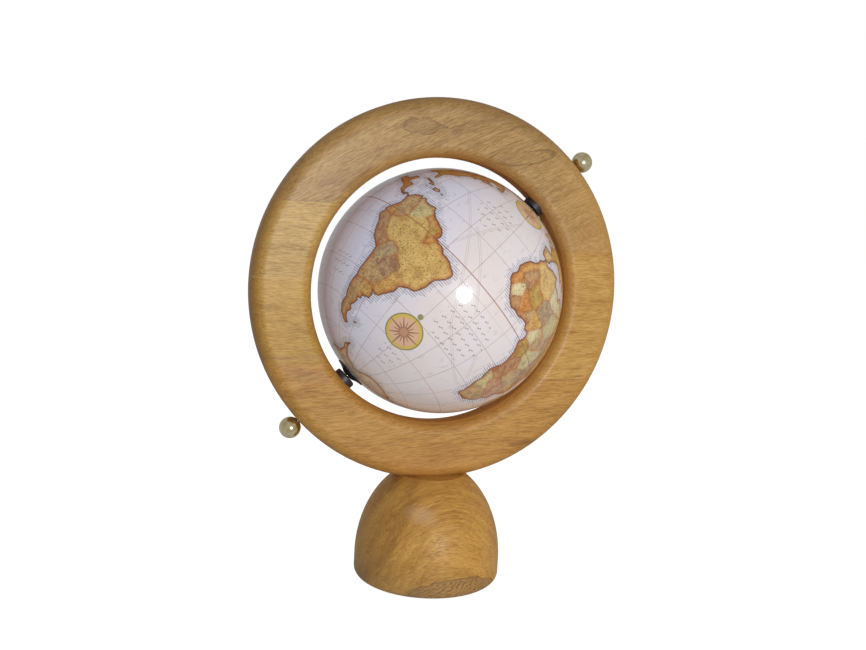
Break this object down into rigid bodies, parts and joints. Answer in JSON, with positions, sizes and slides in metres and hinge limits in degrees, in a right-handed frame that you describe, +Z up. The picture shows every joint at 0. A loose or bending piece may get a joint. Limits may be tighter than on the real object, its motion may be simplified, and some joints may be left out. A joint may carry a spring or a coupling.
{
  "type": "desktop globe on stand",
  "caption": "Tabletop globe that spins on a tilted axle held across a round wooden ring, which stands on a turned dome-shaped wooden base.",
  "frame": {"origin": "centre of the underside of the felt pad, on the table, straight below the ring's centre", "axes": "+Z up, +Y the thin way through the ring, from its front face to its back face, +X across the ring towards the globe's north pole"},
  "size_m": [0.2368, 0.1524, 0.303],
  "materials": {
    "wood_top": "satin lacquered hardwood, greyer straight grain",
    "wood_left_upper": "satin lacquered hardwood, light gold",
    "wood_left_lower": "satin lacquered hardwood",
    "wood_right": "satin lacquered hardwood",
    "wood_bottom": "satin lacquered hardwood, more orange",
    "wood_base": "satin lacquered hardwood, strongly figured",
    "dowel_wood": "plain beech",
    "felt": "dark felt",
    "steel": "bright steel",
    "brass": "polished pale brass",
    "black_plastic": "satin black plastic",
    "shell_plastic": "plain moulded plastic",
    "map": "printed paper under gloss varnish"
  },
  "bodies": {
    "stand": {"ring_top_arc": "wood_top", "ring_left_upper_block": "wood_left_upper", "ring_left_lower_block": "wood_left_lower", "ring_right_block": "wood_right", "ring_bottom_arc": "wood_bottom", "base_dome": "wood_base", "base_dowels": "dowel_wood", "base_pad": "felt", "base_screw": "steel", "base_screw_washer": "steel", "ring_bush_upper": "black_plastic", "ring_bush_lower": "black_plastic"},
    "axle": {"axle_rod": "steel", "finial_upper": "brass", "finial_lower": "brass"},
    "globe": {"globe_shell_north": "shell_plastic", "globe_shell_south": "shell_plastic", "globe_joining_band": "shell_plastic", "globe_map_north": "map", "globe_map_south": "map", "pole_plug_north": "black_plastic", "pole_plug_south": "black_plastic"}
  },
  "joints": [
    {"name": "axle_turn", "type": "hinge", "parent": "stand", "child": "axle", "pos_m": [0, 0, 0.1846], "axis": [0.7302, 0, 0.6833], "continuous": true},
    {"name": "globe_spin", "type": "hinge", "parent": "stand", "child": "globe", "pos_m": [0, 0, 0.1846], "axis": [0.7302, 0, 0.6833], "continuous": true}
  ]
}
